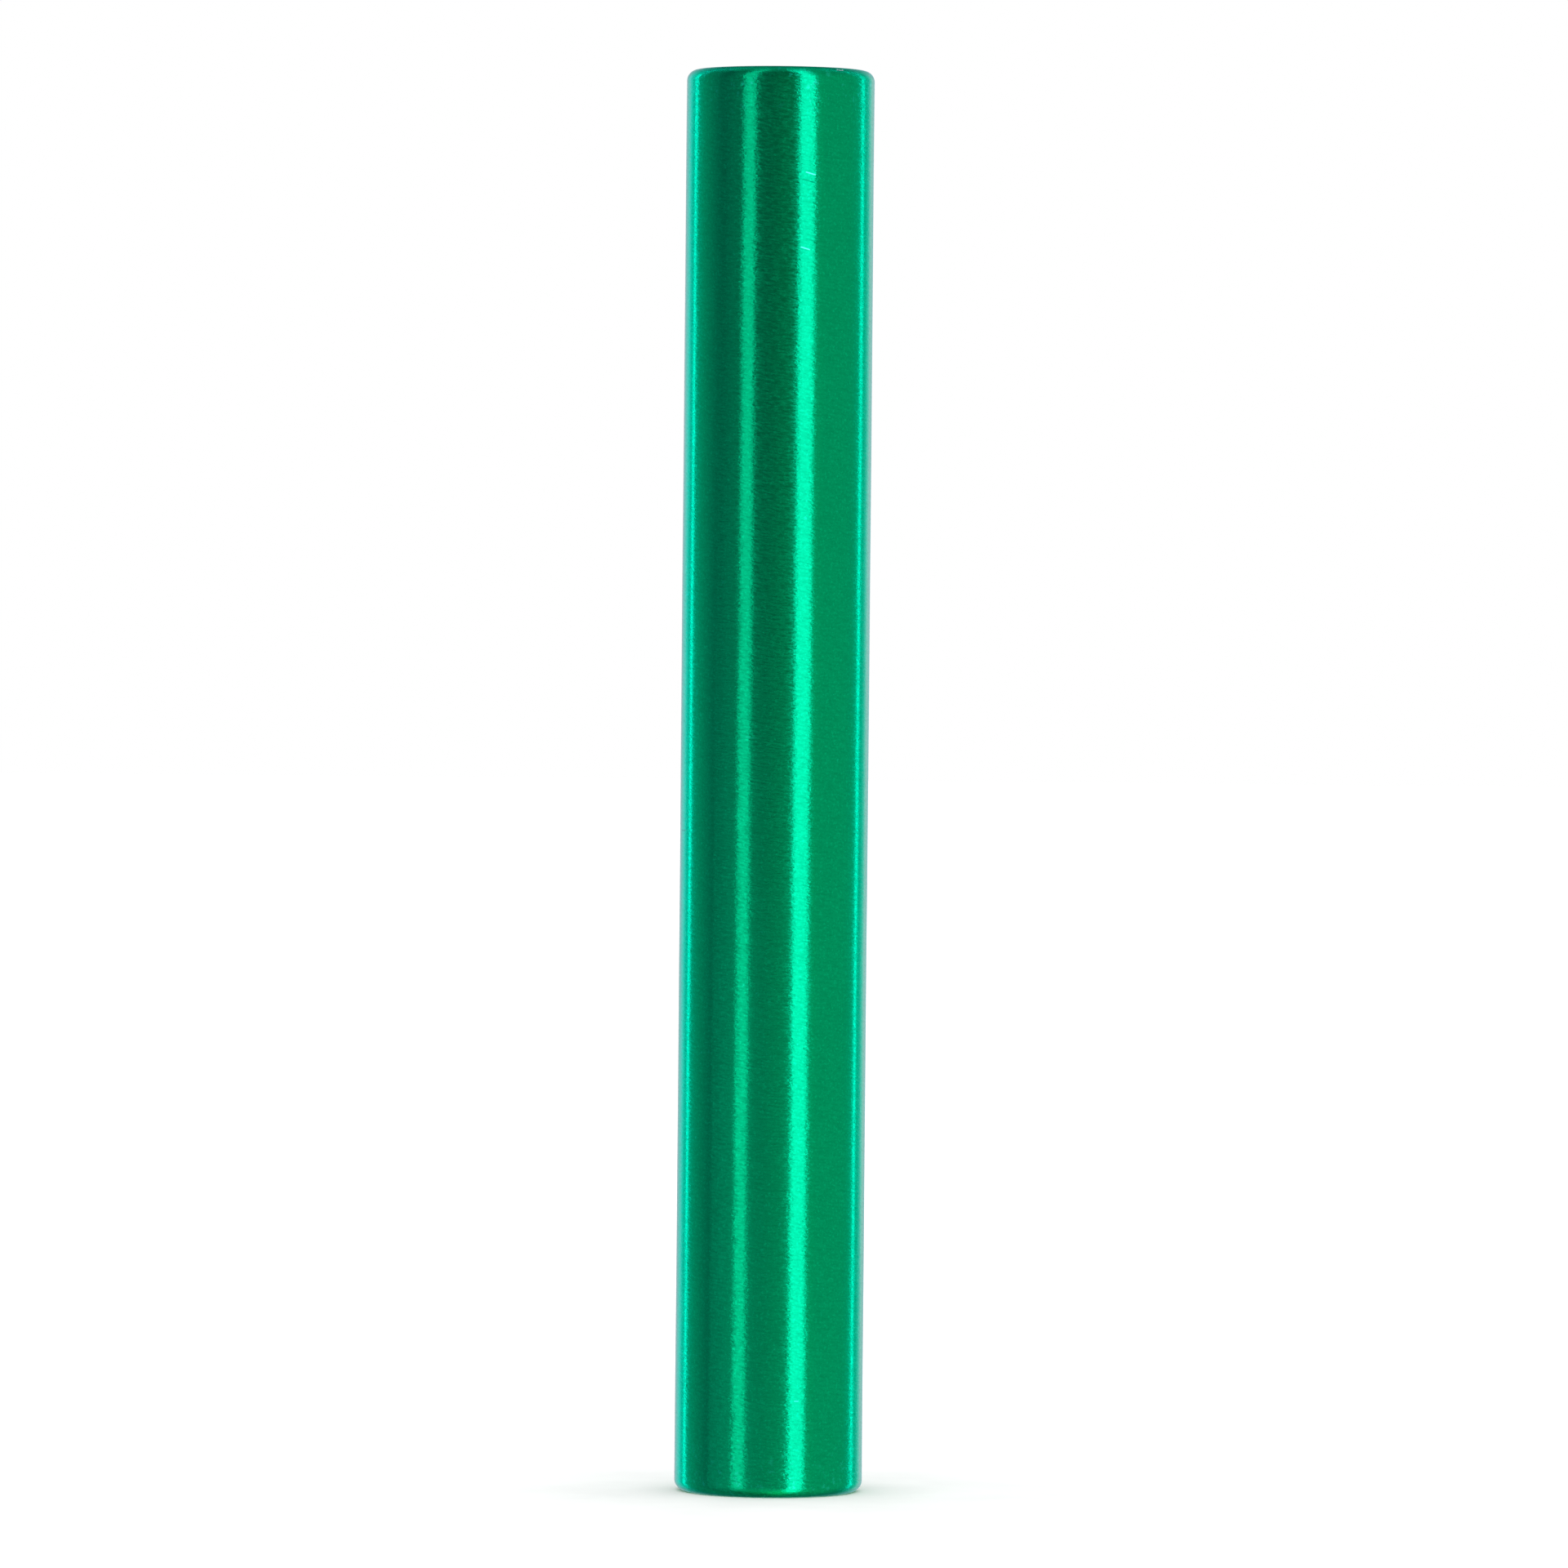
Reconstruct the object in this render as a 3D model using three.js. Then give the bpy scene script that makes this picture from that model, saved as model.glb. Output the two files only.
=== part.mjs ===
// Relay baton: one smooth, hollow aluminium tube with both of its ends rolled inwards.
//
// Millimetres. +Z runs along the tube's axis. The baton stands on its lower rim, and the origin is
// the centre of that rim's flat ring.

import * as THREE from "three";

// Driving dimensions
const OUTER_DIAMETER = 38;
const LENGTH = 287;
const WALL = 1;
const RIM_RADIUS = 2.2; // outside of the bend that turns the wall in towards the axis
const LAND_WIDTH = 0.8; // flat ring at the very end, between the rim's bend and the curl
const CURL_RADIUS = 1.5; // outside of the second bend, which hides the cut edge in the bore
const CURL_ANGLE = THREE.MathUtils.degToRad(80);

// Fineness of the facets
const TURN_STEPS = 72; // round the axis
const CHORD_SAG = 0.03; // most that a chord stands off its arc in the section

// Worked out from the dimensions above
const OUTER_RADIUS = OUTER_DIAMETER / 2;
const HALF_LENGTH = LENGTH / 2;
const RIM_CENTRE = new THREE.Vector2(OUTER_RADIUS - RIM_RADIUS, HALF_LENGTH - RIM_RADIUS);
const CURL_CENTRE = new THREE.Vector2(RIM_CENTRE.x - LAND_WIDTH, HALF_LENGTH - CURL_RADIUS);
const QUARTER_TURN = Math.PI / 2;
const CURL_END = QUARTER_TURN + CURL_ANGLE;

// Points of an arc in the section, both ends included. The chords stay within CHORD_SAG of it.
function arc(centre, radius, from, to) {
  const widestStep = 2 * Math.acos(1 - CHORD_SAG / radius);
  const steps = Math.ceil(Math.abs(to - from) / widestStep);
  const points = [];
  for (let i = 0; i <= steps; i++) {
    const angle = from + ((to - from) * i) / steps;
    const spoke = new THREE.Vector2(Math.cos(angle), Math.sin(angle));
    points.push(spoke.multiplyScalar(radius).add(centre));
  }
  return points;
}

// The wall's outline round one end. x is the distance from the axis and y the height above the
// tube's middle. It goes up the outside, over the rim, down the curl, round the cut edge and back
// under the rim to the bore.
function endOutline() {
  const cutEdgeCentre = new THREE.Vector2(Math.cos(CURL_END), Math.sin(CURL_END))
    .multiplyScalar(CURL_RADIUS - WALL / 2)
    .add(CURL_CENTRE);
  const cutEdge = arc(cutEdgeCentre, WALL / 2, CURL_END, CURL_END + Math.PI);
  return [
    ...arc(RIM_CENTRE, RIM_RADIUS, 0, QUARTER_TURN),
    ...arc(CURL_CENTRE, CURL_RADIUS, QUARTER_TURN, CURL_END),
    ...cutEdge.slice(1, -1), // its first and last points belong to the curl's two faces
    ...arc(CURL_CENTRE, CURL_RADIUS - WALL, CURL_END, QUARTER_TURN),
    ...arc(RIM_CENTRE, RIM_RADIUS - WALL, QUARTER_TURN, 0),
  ];
}

// The closed section of the whole wall: the upper end's outline, and the same one mirrored.
function wallSection() {
  const upper = endOutline();
  const lower = upper.map(({ x, y }) => new THREE.Vector2(x, -y)).reverse();
  return [...upper, ...lower, upper[0].clone()];
}

function anodisedAluminium() {
  return new THREE.MeshStandardMaterial({ color: 0x008a56, metalness: 1, roughness: 0.35 });
}

function batonTube() {
  const tube = new THREE.Mesh(new THREE.LatheGeometry(wallSection(), TURN_STEPS), anodisedAluminium());
  tube.name = "baton_tube";
  tube.rotation.x = QUARTER_TURN; // the lathe turns about Y, and the baton stands along Z
  tube.position.z = HALF_LENGTH;
  return tube;
}

const baton = new THREE.Group();
baton.add(batonTube());

export default baton;
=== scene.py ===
"""A relay baton: one green anodised aluminium tube, brushed round its girth, on a pale studio floor.

Metres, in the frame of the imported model: +Z along the tube, which stands on its lower rim at the origin.
"""

import math

import bpy
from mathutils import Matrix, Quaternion, Vector


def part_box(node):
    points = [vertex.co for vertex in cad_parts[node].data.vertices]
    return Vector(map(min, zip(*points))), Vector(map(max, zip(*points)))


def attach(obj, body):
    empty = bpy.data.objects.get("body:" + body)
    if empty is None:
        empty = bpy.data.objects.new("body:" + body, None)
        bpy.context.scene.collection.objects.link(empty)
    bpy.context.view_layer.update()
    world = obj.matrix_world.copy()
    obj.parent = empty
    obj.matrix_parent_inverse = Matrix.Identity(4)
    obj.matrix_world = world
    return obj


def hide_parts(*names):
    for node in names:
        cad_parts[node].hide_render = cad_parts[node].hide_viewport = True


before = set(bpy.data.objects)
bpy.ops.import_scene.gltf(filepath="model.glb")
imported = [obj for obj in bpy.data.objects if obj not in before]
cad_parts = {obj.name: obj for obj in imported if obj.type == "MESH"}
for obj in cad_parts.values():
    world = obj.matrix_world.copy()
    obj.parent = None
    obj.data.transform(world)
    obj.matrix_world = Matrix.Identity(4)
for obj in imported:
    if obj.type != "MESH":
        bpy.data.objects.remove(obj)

MM = 0.001

# The tube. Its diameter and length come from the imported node; the rest repeats its section.
NODE = "baton_tube"
LOWEST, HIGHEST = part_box(NODE)
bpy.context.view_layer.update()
OUTER_RADIUS = (HIGHEST.x - LOWEST.x) / 2
LENGTH = HIGHEST.z - LOWEST.z
MIDDLE = (LOWEST + HIGHEST) / 2
WALL = 1 * MM
RIM_RADIUS = 2.2 * MM
LAND_WIDTH = 0.8 * MM
CURL_RADIUS = 1.5 * MM
CURL_ANGLE = math.radians(80)

# Fineness of the mesh
TURN_STEPS = 288
WALL_STEPS = 80
CHORD_SAG = 0.002 * MM

# How far the rolled tube is from a perfect one: shallow waves in its wall, and nicks in its rims
WAVES = [  # half height, lobes round the tube, length along it, starting angle
    (0.018 * MM, 2, 190 * MM, 0.4),
    (0.010 * MM, 3, 83 * MM, 2.1),
    (0.005 * MM, 5, 41 * MM, 4.4),
]
NICKS = [  # end (1 upper, -1 lower), direction round the tube, angle up the bend, length round it, depth
    (1, 41, 52, 1.5 * MM, 0.10 * MM),
    (1, 151, 40, 1.2 * MM, 0.09 * MM),
    (1, 262, 55, 1.5 * MM, 0.10 * MM),
    (-1, 96, 58, 1.8 * MM, 0.10 * MM),
    (-1, 214, 44, 1.1 * MM, 0.09 * MM),
]
NICK_WIDTH = 0.9 * MM
BARE_WIDTH = 0.26 * MM

# Scratches on the skin
PALE_MARKS = [  # direction round the tube, height, length, lean, strength
    (19, 265.5 * MM, 2.0 * MM, -15, 1.0),
    (16, 250.5 * MM, 1.8 * MM, -15, 1.0),
    (-15, 152.5 * MM, 1.8 * MM, -8, 0.55),
    (17, 19.5 * MM, 0.8 * MM, 0, 0.7),
    (-71, 181 * MM, 1.8 * MM, 9, 0.5),
    (104, 92 * MM, 1.9 * MM, -14, 0.9),
    (162, 231 * MM, 1.6 * MM, -20, 0.6),
    (221, 133 * MM, 1.4 * MM, -11, 0.8),
    (247, 41 * MM, 1.8 * MM, -31, 0.5),
]
DARK_MARKS = [  # the same
    (18, 264 * MM, 2.6 * MM, -10, 0.8),
    (-74, 133.5 * MM, 2.6 * MM, 2, 1.0),
    (128, 204 * MM, 1.6 * MM, -12, 0.8),
    (196, 64 * MM, 2.2 * MM, -8, 0.8),
]
MARK_WIDTH = 0.18 * MM
DARK_MARK_DEPTH = 0.035 * MM

# The brushing
BRUSHING = [  # relief, then the strokes' thickness, length, lean, and place in the noise
    (0.016 * MM, 0.56 * MM, 4.6 * MM, 10, 3.1),
    (0.019 * MM, 0.50 * MM, 2.6 * MM, 7, 11.7),
    (0.014 * MM, 0.50 * MM, 2.4 * MM, -2, 23.9),
    (0.017 * MM, 0.46 * MM, 0.80 * MM, 4, 37.3),
]
SHEEN_STROKES = (0.44 * MM, 1.6 * MM, 10, 71.9)
NEXT_WRAP = 40  # how far off in the noise the second wrap's strokes are taken
SMOOTHEST = 0.135
ROUGHEST = 0.35

# How the skin changes towards its ends. A distance is from the end: where it begins, and where it is whole.
END_RELIEF = 1.35  # times the relief elsewhere
RELIEF_BEGINS = 50 * MM
RELIEF_WHOLE = 8 * MM
STAINS_BEGIN = 13 * MM
STAINS_WHOLE = 4 * MM

# Noise in the skin: its scale, as patches to the metre
CLOUD_SCALE = 60
UNEVEN_SCALE = 170
STAIN_SCALE = 640
SPECK_SCALE = 1300
GRAIN_SCALE = 2300
BREAK_SCALE = 2600
# What is made of it: the noise where the pattern begins and where it is whole, and its strength at each
CLOUDS = (0.40, 0.75, 0, 0.3)
UNEVEN_RELIEF = (0.35, 0.65, 0.65, 1.35)
STAINS = (0.60, 0.66, 0, 0.85)
SPECKS = (0.73, 0.82, 0, 0.35)
# Painted glints: painted highlights, where the grain is highest the dye is lightened to stand in for small
# bright glints
PAINTED_GLINTS = (0.60, 0.74, 0, 0.7)
BREAKS = (0.38, 0.50, 0, 1)

# How much each thing counts in the skin
STROKES_IN_TONE = 0.62
GRAIN_IN_TONE = 0.9
TONE_SWING = 0.35  # how far from 0 the dye is at its lightest and its darkest
SHEEN_SWING = 0.25  # how far from 0 the sheen's strokes are at their roughest and their smoothest
STAIN_ROUGHNESS = 0.08
BARE_ROUGHNESS = 0.3

# The bore, in the same way: the lines that run along it, and the clouds in its dye
BORE_LINE_SCALE = (3000, 3000, 22)
BORE_CLOUD_SCALE = 90
BORE_LINES = (0.35, 0.65, 0, 1)
BORE_CLOUDS = (0.4, 0.7, 0, 0.5)
BORE_ROUGHNESS = (0.35, 0.65, 0.50, 0.62)  # the lines' noise, and the roughness at each
BORE_RELIEF = 0.02 * MM

# Where the brushing goes over from one wrap to the other, as the cosine of the direction round the tube
SECOND_WRAP_WHOLE = -0.75
FIRST_WRAP_WHOLE = 0.05

UV_NAME = "OFBake"

# Colours, as linear light
BORE_GREEN = (0.0005, 0.36, 0.155, 1)
PALE_GREEN = (0.0007, 0.398, 0.172, 1)
DEEP_GREEN = (0.0004, 0.325, 0.139, 1)
# the painted glints' colour: a painted highlight, not a colour of the dye
PAINTED_GLINT_GREEN = (0.0010, 0.50, 0.225, 1)
STAIN = (0.007, 0.47, 0.28, 1)
BARE_METAL = (0.52, 0.84, 0.86, 1)
PALE_SPECK = (0.10, 0.64, 0.50, 1)
FAINT_SPECK = (0.008, 0.64, 0.40, 1)
DARK_SPECK = (0.0003, 0.13, 0.055, 1)
EDGE_TINT = (0.50, 0.95, 1.0, 1)  # the metal's tint where it is seen edge on
WHITE = (1, 1, 1, 1)

# The camera: a long studio lens, a little above the tube's middle. Its sensor and focal length are in mm.
SENSOR_WIDTH = 36
FOCAL_LENGTH = 222.27
CAMERA_DISTANCE = 1.957
CAMERA_RISE = 32 * MM
CAMERA_ROLL = math.radians(0.53)
AIM_OFFSET = Vector((1.945 * MM, 0, -0.54 * MM))

# The studio. Directions are in degrees round the tube: 0 is towards the camera, 90 towards +X.
SOFTBOX_DISTANCE = 2.6
SOFTBOXES = {  # direction, width, lowest and highest angle, radiance, colour
    "softbox_front_left": (-38.0, 15.5, -27, 80, 1.19, (1.0, 1.0, 1.08)),
    "softbox_front_right": (34.0, 20.2, -52, 79, 2.11, (1.0, 1.0, 1.31)),
    "softbox_back_left": (-126.4, 5.5, -28, 66, 2.4, (0.4, 1.0, 1.35)),
    "softbox_back_right": (123.1, 6.0, -28, 66, 2.15, (0.8, 1.0, 1.35)),
}
# The low panel in front, which lights the tube's lower half more: direction, distance, width, lowest and
# highest point from the tube's middle, radiance, colour
TABLE_GLOW = (-24, 0.5, 1.4, -0.7, 0.0, 0.28, (1, 1, 1))
ROOM = [  # direction, brightness, then its red and blue as shares of it
    (-180, 0.70, 1, 1.15), (-165, 0.75, 1.5, 1.15), (-157, 0.92, 1.5, 1.15), (-149, 1.25, 1.75, 1.2),
    (-145, 1.33, 1.5, 1.2), (-141, 1.38, 0.4, 1.2), (-133, 0.85, 0.1, 1.15), (-122, 0.70, 0.3, 1.05),
    (-106, 0.57, 1, 1.03), (-89, 0.40, 1, 1.12), (-74, 0.225, 1, 1.18), (-60, 0.33, 1, 1.1),
    (-45, 0.32, 1, 1.0), (-12, 0.235, 1, 0.97), (14, 0.33, 1, 0.82), (48, 0.80, 1, 0.82),
    (60, 0.79, 1, 0.88), (92, 0.80, 1, 0.88), (106, 0.76, 1, 0.88), (118, 0.80, 1, 0.95),
    (130, 0.88, 0.1, 0.98), (138, 1.06, 0.3, 1.08), (142, 1.13, 1.6, 1.1), (147, 1.19, 2.9, 1.15),
    (153, 1.12, 3.0, 1.15), (160, 0.85, 1.8, 1.1), (167, 0.80, 0.9, 1.1), (180, 0.70, 1, 1.15),
]
FRONT_RISE = [  # sine of the height above the horizon, share of the brightness, blue as a share of that
    (-1, 0.25, 0.8), (-0.94, 0.55, 0.8), (-0.82, 0.75, 0.85), (-0.5, 0.88, 0.95), (-0.2, 0.96, 1.0),
    (0, 0.92, 1.0), (0.5, 0.82, 1.0), (0.9, 0.50, 1.0), (1, 0.0, 1.0),
]
BACK_RISE = [  # the same
    (-1, 0.08, 0.8), (-0.7, 0.25, 1.0), (-0.35, 0.9, 1.0), (0, 1.05, 1.0), (0.3, 0.9, 1.0),
    (0.7, 0.35, 1.0), (1, 0.0, 1.0),
]
CEILING = [  # the same sine, brightness, blue as a share of it
    (-1, 0, 1), (0.75, 0, 1), (0.93, 0.36, 1), (1, 0.56, 1),
]
TABLE = [  # the same
    (-1, 0.65, 0.5), (-0.94, 0.80, 0.55), (-0.82, 0.85, 0.65), (-0.6, 0.50, 0.8), (-0.3, 0, 1), (1, 0, 1),
]
TABLE_TURN = [  # direction, share of the table's brightness
    (-180, 0), (-60, 0), (-38, 0.4), (-22, 0.5), (-5, 0.85), (12, 1), (25, 1.35), (38, 1.35), (55, 0.3),
    (75, 0), (180, 0),
]
# Where the room's front goes over to its back, as the part of a ray that points away from the camera
BACK_BEGINS = 0.1
BACK_WHOLE = 0.6
FLOOR_RADIUS = 9
FLOOR_LIGHT = 1.18  # enough to make the floor as white as what is behind it
FLOOR_COLOUR = (0.93, 0.93, 0.93, 1)
FLOOR_GRAIN_SCALE = 40


# ---------------------------------------------------------------------------------------- node building

class Graph:
    """Short ways to add nodes to a tree and to join them."""

    def __init__(self, tree):
        tree.nodes.clear()
        self.tree = tree

    def add(self, kind, inputs=(), **settings):
        node = self.tree.nodes.new("ShaderNode" + kind)
        for name, value in settings.items():
            setattr(node, name, value)
        pairs = inputs.items() if isinstance(inputs, dict) else enumerate(inputs)
        for key, value in pairs:
            if isinstance(value, bpy.types.NodeSocket):
                self.tree.links.new(value, node.inputs[key])
            else:
                node.inputs[key].default_value = value
        return node

    def math(self, operation, *values):
        return self.add("Math", values, operation=operation).outputs[0]

    def total(self, values):
        result = values[0]
        for value in values[1:]:
            result = self.math("ADD", result, value)
        return result

    def vector(self, operation, *values):
        node = self.add("VectorMath", values, operation=operation)
        return node.outputs["Value" if operation in ("DOT_PRODUCT", "LENGTH") else "Vector"]

    def combine(self, x, y, z):
        return self.add("CombineXYZ", (x, y, z)).outputs[0]

    def noise(self, vector, scale=1.0, detail=2.0, roughness=0.5, dimensions="3D"):
        inputs = {"Vector": vector, "Scale": scale, "Detail": detail, "Roughness": roughness}
        return self.add("TexNoise", inputs, noise_dimensions=dimensions).outputs[0]

    def spread(self, value, low, high, new_low=0.0, new_high=1.0):
        """Carries low..high to new_low..new_high, and holds it there outside."""
        return self.add("MapRange", (value, low, high, new_low, new_high)).outputs[0]

    def mix(self, factor, first, second):
        sockets = {"Factor_Float": factor, "A_Color": first, "B_Color": second}
        node = self.add("Mix", data_type="RGBA")
        for socket in node.inputs:
            value = sockets.get(socket.identifier)
            if isinstance(value, bpy.types.NodeSocket):
                self.tree.links.new(value, socket)
            elif value is not None:
                socket.default_value = value
        return next(socket for socket in node.outputs if socket.identifier == "Result_Color")

    def ramp(self, value, stops, low, high):
        """A colour by value, from stops of (value, colour) that run from low to high."""
        node = self.add("ValToRGB", (self.spread(value, low, high),))
        elements = node.color_ramp.elements
        elements.remove(elements[1])
        for i, (at, colour) in enumerate(stops):
            place = (at - low) / (high - low)
            element = elements[0] if i == 0 else elements.new(place)
            element.position = place
            element.color = (*colour, 1)
        return node.outputs[0]

    def attribute(self, name):
        return self.add("Attribute", attribute_name=name).outputs["Fac"]


# ----------------------------------------------------------------------------------------------- section

def arc(centre, radius, start, end):
    """Points (distance from the axis, height) of an arc, both ends included."""
    widest_step = 2 * math.acos(1 - CHORD_SAG / radius)
    steps = math.ceil(abs(end - start) / widest_step)
    angles = [start + (end - start) * i / steps for i in range(steps + 1)]
    return [(centre[0] + radius * math.cos(a), centre[1] + radius * math.sin(a)) for a in angles]


def inner_points(first, last, steps):
    """The points that divide a straight stretch, without its two ends."""
    return [
        (first[0] + (last[0] - first[0]) * i / steps, first[1] + (last[1] - first[1]) * i / steps)
        for i in range(1, steps)
    ]


def end_outline():
    """The wall's outline round the upper end, as (outside to the cut edge, cut edge to the bore).

    Heights are counted from the tube's middle. The two share the middle point of the rounded cut edge.
    """
    quarter_turn = math.pi / 2
    rim_centre = (OUTER_RADIUS - RIM_RADIUS, LENGTH / 2 - RIM_RADIUS)
    curl_centre = (rim_centre[0] - LAND_WIDTH, LENGTH / 2 - CURL_RADIUS)
    curl_end = quarter_turn + CURL_ANGLE
    edge_distance = CURL_RADIUS - WALL / 2
    edge_centre = (
        curl_centre[0] + edge_distance * math.cos(curl_end),
        curl_centre[1] + edge_distance * math.sin(curl_end),
    )
    edge_middle = curl_end + quarter_turn
    outside = arc(rim_centre, RIM_RADIUS, 0, quarter_turn)
    outside += arc(curl_centre, CURL_RADIUS, quarter_turn, curl_end)[:-1]
    outside += arc(edge_centre, WALL / 2, curl_end, edge_middle)
    inside = arc(edge_centre, WALL / 2, edge_middle, edge_middle + quarter_turn)
    inside += arc(curl_centre, CURL_RADIUS - WALL, curl_end, quarter_turn)[1:]
    inside += arc(rim_centre, RIM_RADIUS - WALL, quarter_turn, 0)
    return outside, inside


def section_runs():
    """The closed section as four runs of points that meet end to end, halfway up and at the cut edges.

    In turn: up the outside from the middle, down the bore to the middle, on down the bore, and up the
    outside.
    """
    outside, inside = end_outline()
    outer_middle = (OUTER_RADIUS, 0)
    inner_middle = (OUTER_RADIUS - WALL, 0)
    half = WALL_STEPS // 2
    up = [outer_middle] + inner_points(outer_middle, outside[0], half) + outside
    down = inside + inner_points(inside[-1], inner_middle, half) + [inner_middle]
    on_down = [(r, -h) for r, h in reversed(down)]
    on_up = [(r, -h) for r, h in reversed(up)]
    return [up, down, on_down, on_up]


# -------------------------------------------------------------------------------------------------- mesh

def around(degrees):
    """The level unit vector in a direction round the tube: 0 is -Y, and 90 is +X."""
    angle = math.radians(degrees)
    return Vector((math.sin(angle), -math.cos(angle), 0))


def wave_height(angle, height):
    """How far the wall stands in from a perfect cylinder, at an angle round the tube and a height."""
    waves = [
        size * (1 - math.sin(lobes * angle + math.tau * height / pitch + start))
        for size, lobes, pitch, start in WAVES
    ]
    return sum(waves)


def nick_place(end, direction, rise):
    """Where a nick's middle lies on a rim's bend, and the way out of the metal there."""
    lift = math.radians(rise)
    outward = around(direction) * math.cos(lift) + Vector((0, 0, end * math.sin(lift)))
    bend = around(direction) * (OUTER_RADIUS - RIM_RADIUS)
    bend.z = MIDDLE.z + end * (LENGTH / 2 - RIM_RADIUS)
    return bend + outward * RIM_RADIUS, outward


def press_nicks(points):
    """Presses the points near each nick in. A nick is long round the rim and narrow across it."""
    for end, direction, rise, length, depth in NICKS:
        centre, outward = nick_place(end, direction, rise)
        course = around(direction + 90)
        for i, point in enumerate(points):
            offset = point - centre
            if offset.length < length:
                travel = offset.dot(course)
                across = (offset - course * travel).length
                away = math.hypot(travel / (length / 2), across / (NICK_WIDTH / 2))
                points[i] = point - outward * depth * math.exp(-(away ** 2))


def tube_points(section):
    """The mesh's points, ring by ring, with the waves in the wall."""
    points = []
    for distance, height in section:
        for step in range(TURN_STEPS):
            angle = math.tau * step / TURN_STEPS
            radius = distance - wave_height(angle, height)
            points.append(Vector((radius * math.cos(angle), radius * math.sin(angle), height + MIDDLE.z)))
    return points


def section_lengths(section):
    """How far along the section each point lies from the first one."""
    lengths = [0.0]
    for a, b in zip(section, section[1:]):
        lengths.append(lengths[-1] + math.dist(a, b))
    return lengths


def tube_faces(ring_count):
    faces = []
    for ring in range(ring_count):
        below = ring * TURN_STEPS
        above = (ring + 1) % ring_count * TURN_STEPS
        for step in range(TURN_STEPS):
            after = (step + 1) % TURN_STEPS
            faces.append((below + step, below + after, above + after, above + step))
    return faces


def add_uv_map(mesh, runs):
    """Lays each run out as an upright strip: across it round the tube, up it along the section.

    The two runs of the bore take narrower strips than the two of the outside.
    """
    strip_edges = [(0.0, 0.37), (0.74, 0.87), (0.87, 1.0), (0.37, 0.74)]
    gap = 0.004
    corners = []
    for (left, right), run in zip(strip_edges, runs):
        lengths = section_lengths(run)
        heights = [gap + (1 - 2 * gap) * length / lengths[-1] for length in lengths]
        left, right = left + gap, right - gap
        for low, high in zip(heights, heights[1:]):
            for step in range(TURN_STEPS):
                before = left + (right - left) * step / TURN_STEPS
                after = left + (right - left) * (step + 1) / TURN_STEPS
                corners += [before, low, after, low, after, high, before, high]
    layer = mesh.uv_layers.new(name=UV_NAME)
    layer.uv.foreach_set("vector", corners)


def add_attribute(mesh, name, values):
    mesh.attributes.new(name, "FLOAT", "POINT").data.foreach_set("value", values)


def outside_along(runs):
    """How far up the outside from its middle each ring lies, measured over the rims. Below is negative."""
    up, down, on_down, on_up = [section_lengths(run)[:-1] for run in runs]
    whole = section_lengths(runs[3])[-1]
    return up + [whole] * len(down) + [-whole] * len(on_down) + [length - whole for length in on_up]


def make_tube():
    runs = section_runs()
    section = [point for run in runs for point in run[:-1]]
    points = tube_points(section)
    press_nicks(points)
    mesh = bpy.data.meshes.new("baton_tube_skin")
    mesh.from_pydata(points, [], tube_faces(len(section)))
    mesh.polygons.foreach_set("use_smooth", [True] * len(mesh.polygons))
    add_uv_map(mesh, runs)
    along = [length for length in outside_along(runs) for _ in range(TURN_STEPS)]
    add_attribute(mesh, "along", along)
    mesh.materials.append(brushed_skin())
    mesh.materials.append(drawn_bore())
    bore_start = len(runs[0]) - 1
    bore_end = bore_start + len(runs[1]) + len(runs[2]) - 2
    ring_slots = [int(bore_start <= ring < bore_end) for ring in range(len(section))]
    mesh.polygons.foreach_set("material_index", [slot for slot in ring_slots for _ in range(TURN_STEPS)])
    tube = bpy.data.objects.new("baton_tube_skin", mesh)
    bpy.context.scene.collection.objects.link(tube)
    return tube


# --------------------------------------------------------------------------------------------- materials

def new_material(name):
    material = bpy.data.materials.new(name)
    material.use_nodes = True
    return material, Graph(material.node_tree)


def wrap(graph, place):
    """Ways to lay a flat pattern round the tube, as (distance round it from a seam, weight).

    One has its seam at the back and the other at the front, and each has no weight at its own seam.
    """
    x, y, _ = graph.add("SeparateXYZ", (place,)).outputs
    minus_x, minus_y = graph.math("MULTIPLY", x, -1), graph.math("MULTIPLY", y, -1)
    facing = graph.math("DIVIDE", minus_y, graph.vector("LENGTH", graph.combine(x, y, 0)))
    turn = graph.spread(facing, SECOND_WRAP_WHOLE, FIRST_WRAP_WHOLE, math.pi / 2, 0)
    front = graph.math("MULTIPLY", graph.math("ARCTAN2", x, minus_y), OUTER_RADIUS)
    back = graph.math("MULTIPLY", graph.math("ARCTAN2", minus_x, y), OUTER_RADIUS)
    return [(front, graph.math("COSINE", turn)), (back, graph.math("SINE", turn))]


def strokes(graph, wraps, along, thickness, length, lean, shift):
    """Strokes of a brush that runs round the tube and leans down to the right, as values about 0."""
    parts = []
    for travel, weight in wraps:
        level = graph.math("MULTIPLY_ADD", travel, math.tan(math.radians(lean)), along)
        flat = graph.combine(
            graph.math("MULTIPLY_ADD", travel, 1 / length, shift),
            graph.math("MULTIPLY_ADD", level, 1 / thickness, shift),
            0,
        )
        pattern = graph.noise(flat, dimensions="2D")
        parts.append(graph.math("MULTIPLY", graph.math("SUBTRACT", pattern, 0.5), weight))
        shift += NEXT_WRAP
    return graph.total(parts)


def marks(graph, place, segments, width):
    """The strength of short straight marks, fading to 0 a width away.

    A segment is its middle, its course, its length and its strength.
    """
    found = []
    for middle, course, length, strength in segments:
        offset = graph.vector("SUBTRACT", place, tuple(middle))
        travel = graph.vector("DOT_PRODUCT", offset, tuple(course))
        held = graph.spread(travel, -length / 2, length / 2, -length / 2, length / 2)
        nearest = graph.vector("MULTIPLY", tuple(course), graph.combine(held, held, held))
        away = graph.vector("LENGTH", graph.vector("SUBTRACT", offset, nearest))
        found.append(graph.spread(away, 0, width, strength, 0))
    return graph.total(found)


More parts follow.
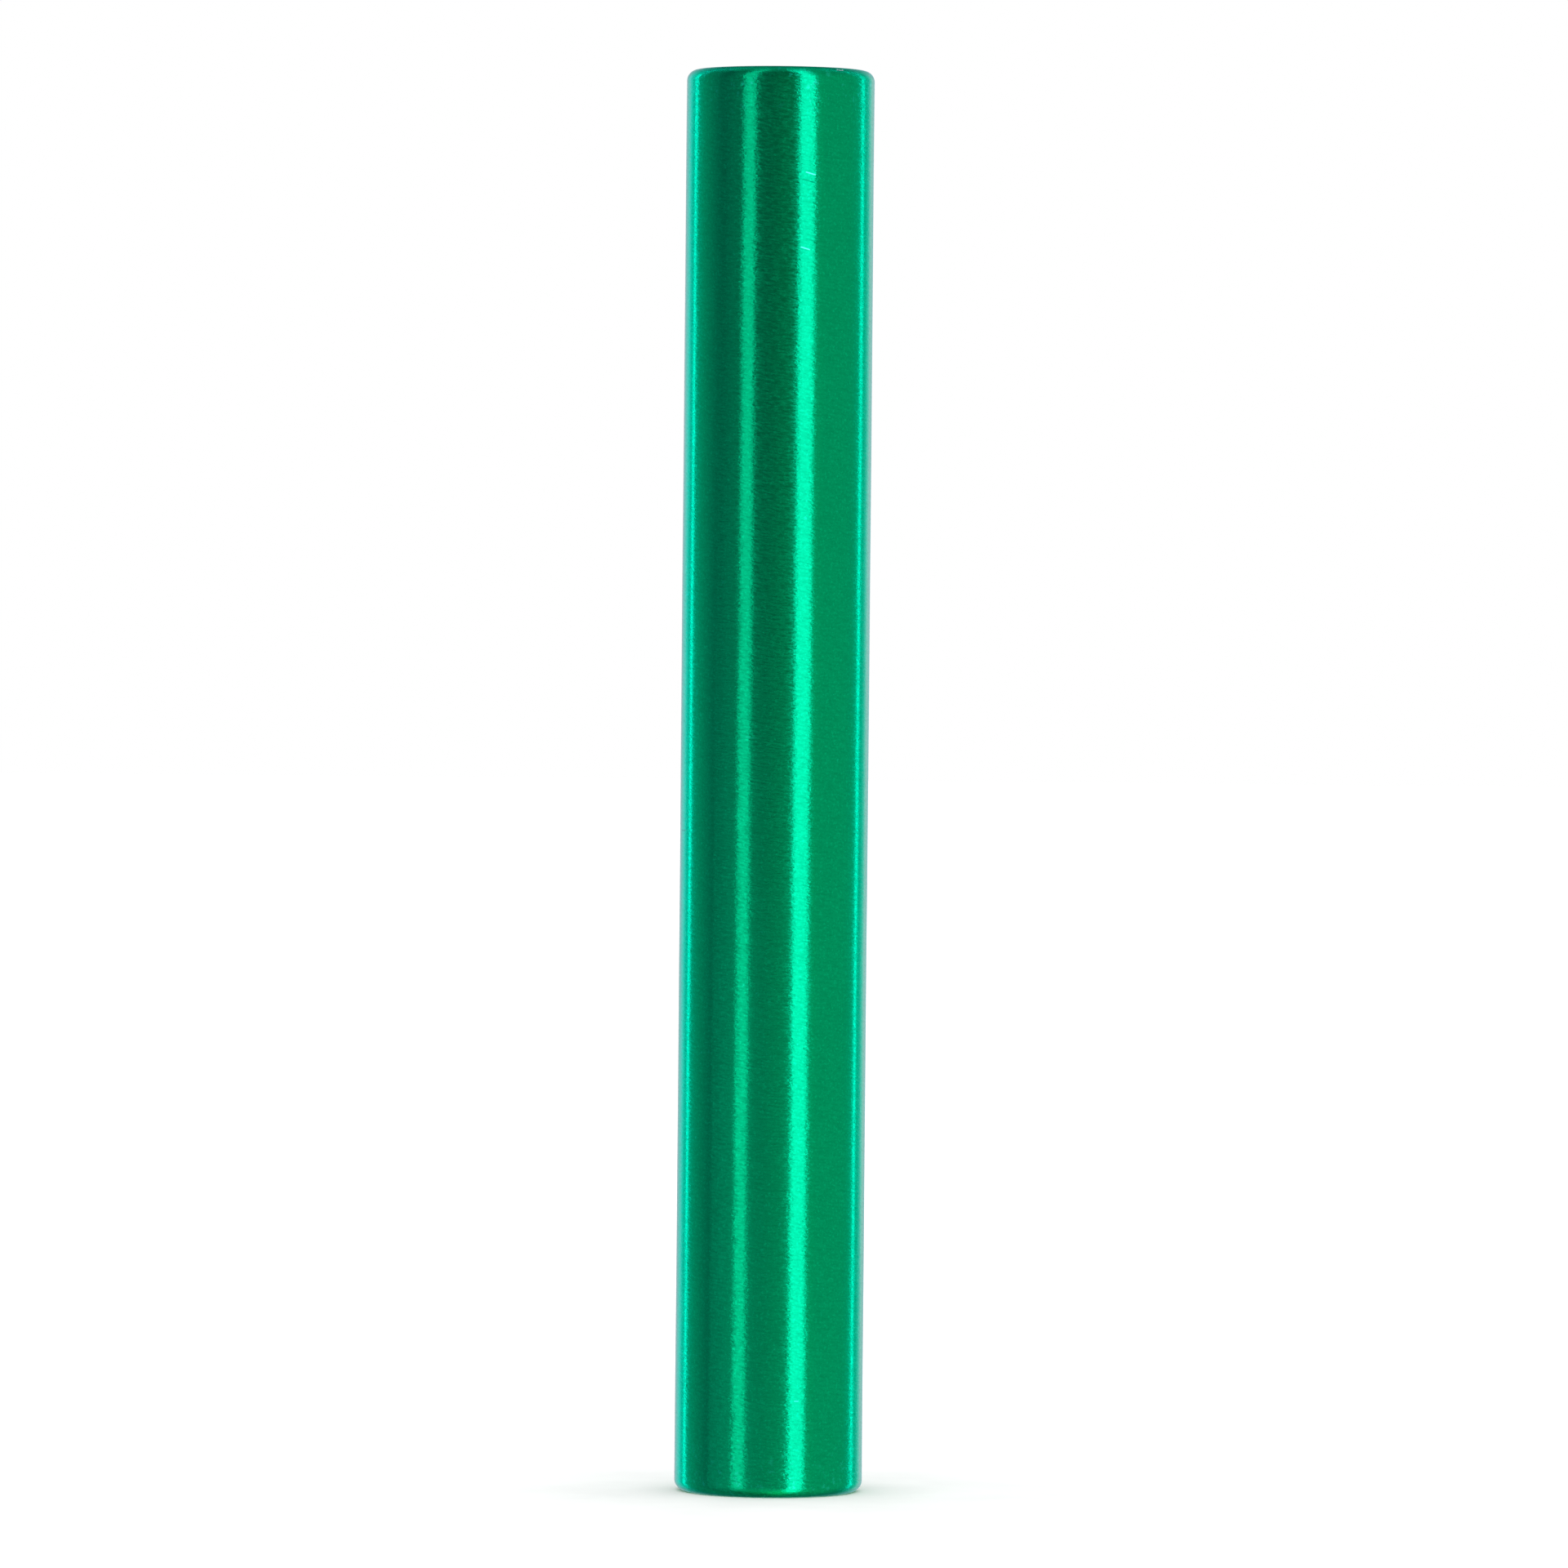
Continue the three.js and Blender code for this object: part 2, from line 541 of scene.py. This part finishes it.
def mark_segments(places):
    segments = []
    for direction, height, length, lean, strength in places:
        rise = math.radians(lean)
        course = around(direction + 90) * math.cos(rise) + Vector((0, 0, math.sin(rise)))
        middle = around(direction) * OUTER_RADIUS + Vector((0, 0, height))
        segments.append((middle, course, length, strength))
    return segments


def nick_segments():
    return [
        (nick_place(end, direction, rise)[0], around(direction + 90), length, 1)
        for end, direction, rise, length, _ in NICKS
    ]


def principled(graph, colour, roughness, height, anisotropy, rotation):
    bump = graph.add("Bump", {"Strength": 1.0, "Distance": 1.0, "Height": height})
    tangent = graph.add("Tangent", direction_type="RADIAL", axis="Z")
    shader = graph.add("BsdfPrincipled", {
        "Base Color": colour,
        "Metallic": 1.0,
        "Roughness": roughness,
        "Normal": bump.outputs[0],
        "Tangent": tangent.outputs[0],
        "Specular Tint": EDGE_TINT,
        "Anisotropic": anisotropy,
        "Anisotropic Rotation": rotation,
    })
    output = graph.add("OutputMaterial")
    graph.tree.links.new(shader.outputs[0], output.inputs["Surface"])


def bare_metal(graph, place):
    """Where the dye is broken off in the rims' nicks."""
    nicked = marks(graph, place, nick_segments(), BARE_WIDTH)
    broken = graph.spread(graph.noise(place, scale=BREAK_SCALE), *BREAKS)
    return graph.math("MULTIPLY", graph.spread(nicked, 0.1, 0.4), broken)


def stains(graph, place, from_middle):
    """Patches near the rims."""
    near_rim = graph.spread(from_middle, LENGTH / 2 - STAINS_BEGIN, LENGTH / 2 - STAINS_WHOLE)
    patches = graph.noise(place, scale=STAIN_SCALE, detail=4, roughness=0.65)
    return graph.math("MULTIPLY", graph.spread(patches, *STAINS), near_rim)


def skin_relief(graph, place, layers, from_middle, dark):
    """The strokes' height. It is uneven, greater near the ends, and cut into by the dark marks."""
    height = graph.total([graph.math("MULTIPLY", layer, relief) for relief, layer in layers])
    uneven = graph.spread(graph.noise(place, scale=UNEVEN_SCALE), *UNEVEN_RELIEF)
    begin, whole = LENGTH / 2 - RELIEF_BEGINS, LENGTH / 2 - RELIEF_WHOLE
    to_the_end = graph.spread(from_middle, begin, whole, 1, END_RELIEF)
    height = graph.math("MULTIPLY", graph.math("MULTIPLY", height, uneven), to_the_end)
    return graph.math("MULTIPLY_ADD", dark, -DARK_MARK_DEPTH, height)


def skin_colour(graph, place, layers, stained, dark, bare):
    """The dye: lighter and darker with the grain and the strokes, then clouds, painted glints, stains and
    marks. The glints are painted highlights: the grain's highest spots lightened towards a brighter green.
    """
    grain = graph.noise(place, scale=GRAIN_SCALE, detail=1)
    tone = graph.math("MULTIPLY", graph.total([layer for _, layer in layers]), STROKES_IN_TONE)
    tone = graph.math("MULTIPLY_ADD", graph.math("SUBTRACT", grain, 0.5), GRAIN_IN_TONE, tone)
    colour = graph.mix(graph.spread(tone, -TONE_SWING, TONE_SWING), DEEP_GREEN, PALE_GREEN)
    clouds = graph.spread(graph.noise(place, scale=CLOUD_SCALE, detail=3), *CLOUDS)
    colour = graph.mix(clouds, colour, DEEP_GREEN)
    # painted glints: painted highlights where the grain is highest
    colour = graph.mix(graph.spread(grain, *PAINTED_GLINTS), colour, PAINTED_GLINT_GREEN)
    colour = graph.mix(stained, colour, STAIN)
    specks = graph.spread(graph.noise(place, scale=SPECK_SCALE, detail=1), *SPECKS)
    colour = graph.mix(specks, colour, FAINT_SPECK)
    pale = marks(graph, place, mark_segments(PALE_MARKS), MARK_WIDTH)
    pale_colour = graph.mix(graph.spread(pale, 0.3, 0.8), FAINT_SPECK, PALE_SPECK)
    colour = graph.mix(pale, colour, pale_colour)
    colour = graph.mix(dark, colour, DARK_SPECK)
    return graph.mix(bare, colour, BARE_METAL)


def skin_roughness(graph, sheen, stained, bare):
    roughness = graph.spread(sheen, -SHEEN_SWING, SHEEN_SWING, SMOOTHEST, ROUGHEST)
    roughness = graph.math("MULTIPLY_ADD", stained, STAIN_ROUGHNESS, roughness)
    return graph.math("MULTIPLY_ADD", bare, BARE_ROUGHNESS, roughness)


def brushed_skin():
    """The outside: strokes of the brush, cloudy dye, stains, scratches, and bare metal in the rims' nicks."""
    material, graph = new_material("brushed_green_anodising")
    place = graph.add("TexCoord").outputs["Object"]
    along = graph.attribute("along")
    from_middle = graph.math("ABSOLUTE", along)
    wraps = wrap(graph, place)
    layers = [(relief, strokes(graph, wraps, along, *shape)) for relief, *shape in BRUSHING]
    sheen = strokes(graph, wraps, along, *SHEEN_STROKES)
    dark = marks(graph, place, mark_segments(DARK_MARKS), MARK_WIDTH)
    bare = bare_metal(graph, place)
    stained = stains(graph, place, from_middle)
    colour = skin_colour(graph, place, layers, stained, dark, bare)
    roughness = skin_roughness(graph, sheen, stained, bare)
    height = skin_relief(graph, place, layers, from_middle, dark)
    principled(graph, colour, roughness, height, anisotropy=0.9, rotation=0.25)
    return material


def drawn_bore():
    """The bore: the same dye over the long, fine lines that drawing leaves along a tube."""
    material, graph = new_material("drawn_green_anodising")
    place = graph.add("TexCoord").outputs["Object"]
    lines = graph.noise(graph.vector("MULTIPLY", place, BORE_LINE_SCALE), detail=3, roughness=0.6)
    cloudy = graph.noise(place, scale=BORE_CLOUD_SCALE, detail=3)
    colour = graph.mix(graph.spread(lines, *BORE_LINES), DEEP_GREEN, BORE_GREEN)
    colour = graph.mix(graph.spread(cloudy, *BORE_CLOUDS), colour, DEEP_GREEN)
    roughness = graph.spread(lines, *BORE_ROUGHNESS)
    height = graph.math("MULTIPLY", lines, BORE_RELIEF)
    principled(graph, colour, roughness, height, anisotropy=0.3, rotation=0.0)
    return material


# ------------------------------------------------------------------------------------------------ studio

def make_floor():
    """A wide pale disc. The metal is lit and mirrored as if it weren't there."""
    mesh = bpy.data.meshes.new("studio_floor")
    steps = 96
    rim = [around(360 * i / steps) * FLOOR_RADIUS for i in range(steps)]
    mesh.from_pydata([Vector()] + rim, [], [(0, 1 + i, 1 + (i + 1) % steps) for i in range(steps)])
    floor = bpy.data.objects.new("studio_floor", mesh)
    bpy.context.scene.collection.objects.link(floor)
    material, graph = new_material("studio_floor")
    place = graph.add("TexCoord").outputs["Object"]
    grain = graph.noise(place, scale=FLOOR_GRAIN_SCALE, detail=4)
    colour = graph.mix(graph.spread(grain, 0.3, 0.7), FLOOR_COLOUR, WHITE)
    shader = graph.add("BsdfDiffuse", (colour,))
    output = graph.add("OutputMaterial")
    graph.tree.links.new(shader.outputs[0], output.inputs["Surface"])
    mesh.materials.append(material)
    floor.visible_glossy = False
    floor.visible_shadow = False


def make_panel(name, direction, distance, width, low, high, radiance, colour, lit):
    """An upright lamp that faces the tube and lights only it. Its heights are from the tube's middle."""
    lamp = bpy.data.lights.new(name, "AREA")
    lamp.shape = "RECTANGLE"
    lamp.size = width
    lamp.size_y = high - low
    lamp.energy = radiance * math.pi * lamp.size * lamp.size_y
    lamp.color = colour
    panel = bpy.data.objects.new(name, lamp)
    bpy.context.scene.collection.objects.link(panel)
    panel.location = around(direction) * distance + Vector((0, 0, MIDDLE.z + (low + high) / 2))
    panel.rotation_euler = around(direction).to_track_quat("Z", "Y").to_euler()
    panel.visible_camera = False
    panel.light_linking.receiver_collection = lit


def make_softbox(name, direction, width, lowest, highest, radiance, colour, lit):
    """A tall lamp, placed and sized by the angles that it takes up as seen from the tube."""
    low = SOFTBOX_DISTANCE * math.tan(math.radians(lowest))
    high = SOFTBOX_DISTANCE * math.tan(math.radians(highest))
    across = 2 * SOFTBOX_DISTANCE * math.tan(math.radians(width / 2))
    make_panel(name, direction, SOFTBOX_DISTANCE, across, low, high, radiance, colour, lit)


def rise_stops(stops):
    return [(at, (level, level, level * blue)) for at, level, blue in stops]


def make_world():
    """White to the camera and to the floor. The metal mirrors a room: dim in front, pale behind."""
    world = bpy.data.worlds.new("studio")
    world.use_nodes = True
    world.cycles.sampling_method = "NONE"
    bpy.context.scene.world = world
    graph = Graph(world.node_tree)
    ray = graph.add("TexCoord").outputs["Generated"]
    x, y, z = graph.add("SeparateXYZ", (ray,)).outputs
    turn = graph.math("DEGREES", graph.math("ARCTAN2", x, graph.math("MULTIPLY", y, -1)))
    room_stops = [(at, (level * red, level, level * blue)) for at, level, red, blue in ROOM]
    room = graph.ramp(turn, room_stops, -180, 180)
    front = graph.ramp(z, rise_stops(FRONT_RISE), -1, 1)
    back = graph.ramp(z, rise_stops(BACK_RISE), -1, 1)
    rise = graph.mix(graph.spread(y, BACK_BEGINS, BACK_WHOLE), front, back)
    ceiling = graph.ramp(z, rise_stops(CEILING), -1, 1)
    in_front = graph.ramp(turn, [(at, (share,) * 3) for at, share in TABLE_TURN], -180, 180)
    table = graph.vector("MULTIPLY", graph.ramp(z, rise_stops(TABLE), -1, 1), in_front)
    mirrored = graph.vector("MULTIPLY_ADD", room, rise, graph.vector("ADD", ceiling, table))
    path = graph.add("LightPath").outputs
    to_floor = (FLOOR_LIGHT, FLOOR_LIGHT, FLOOR_LIGHT, 1)
    colour = graph.mix(path["Is Diffuse Ray"], WHITE, to_floor)
    colour = graph.mix(path["Is Glossy Ray"], colour, mirrored)
    background = graph.add("Background", (colour, 1.0))
    output = graph.add("OutputWorld")
    graph.tree.links.new(background.outputs[0], output.inputs["Surface"])


def make_camera():
    data = bpy.data.cameras.new("camera")
    data.sensor_width = SENSOR_WIDTH
    data.lens = FOCAL_LENGTH
    data.clip_end = 100
    camera = bpy.data.objects.new("camera", data)
    bpy.context.scene.collection.objects.link(camera)
    aim = MIDDLE + AIM_OFFSET
    camera.location = aim + around(0) * CAMERA_DISTANCE + Vector((0, 0, CAMERA_RISE))
    level = (aim - camera.location).to_track_quat("-Z", "Y")
    roll = Quaternion((0, 0, 1), CAMERA_ROLL)
    camera.rotation_euler = (level @ roll).to_euler()
    bpy.context.scene.camera = camera


# ------------------------------------------------------------------------------------------------- scene

make_camera()
tube = make_tube()
lit = bpy.data.collections.new("lit_by_the_lamps")
lit.objects.link(tube)
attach(tube, "root")
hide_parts(NODE)
make_floor()
make_world()
for name, settings in SOFTBOXES.items():
    make_softbox(name, *settings, lit)
make_panel("table_glow", *TABLE_GLOW, lit)
bpy.context.scene.view_settings.view_transform = "Standard"
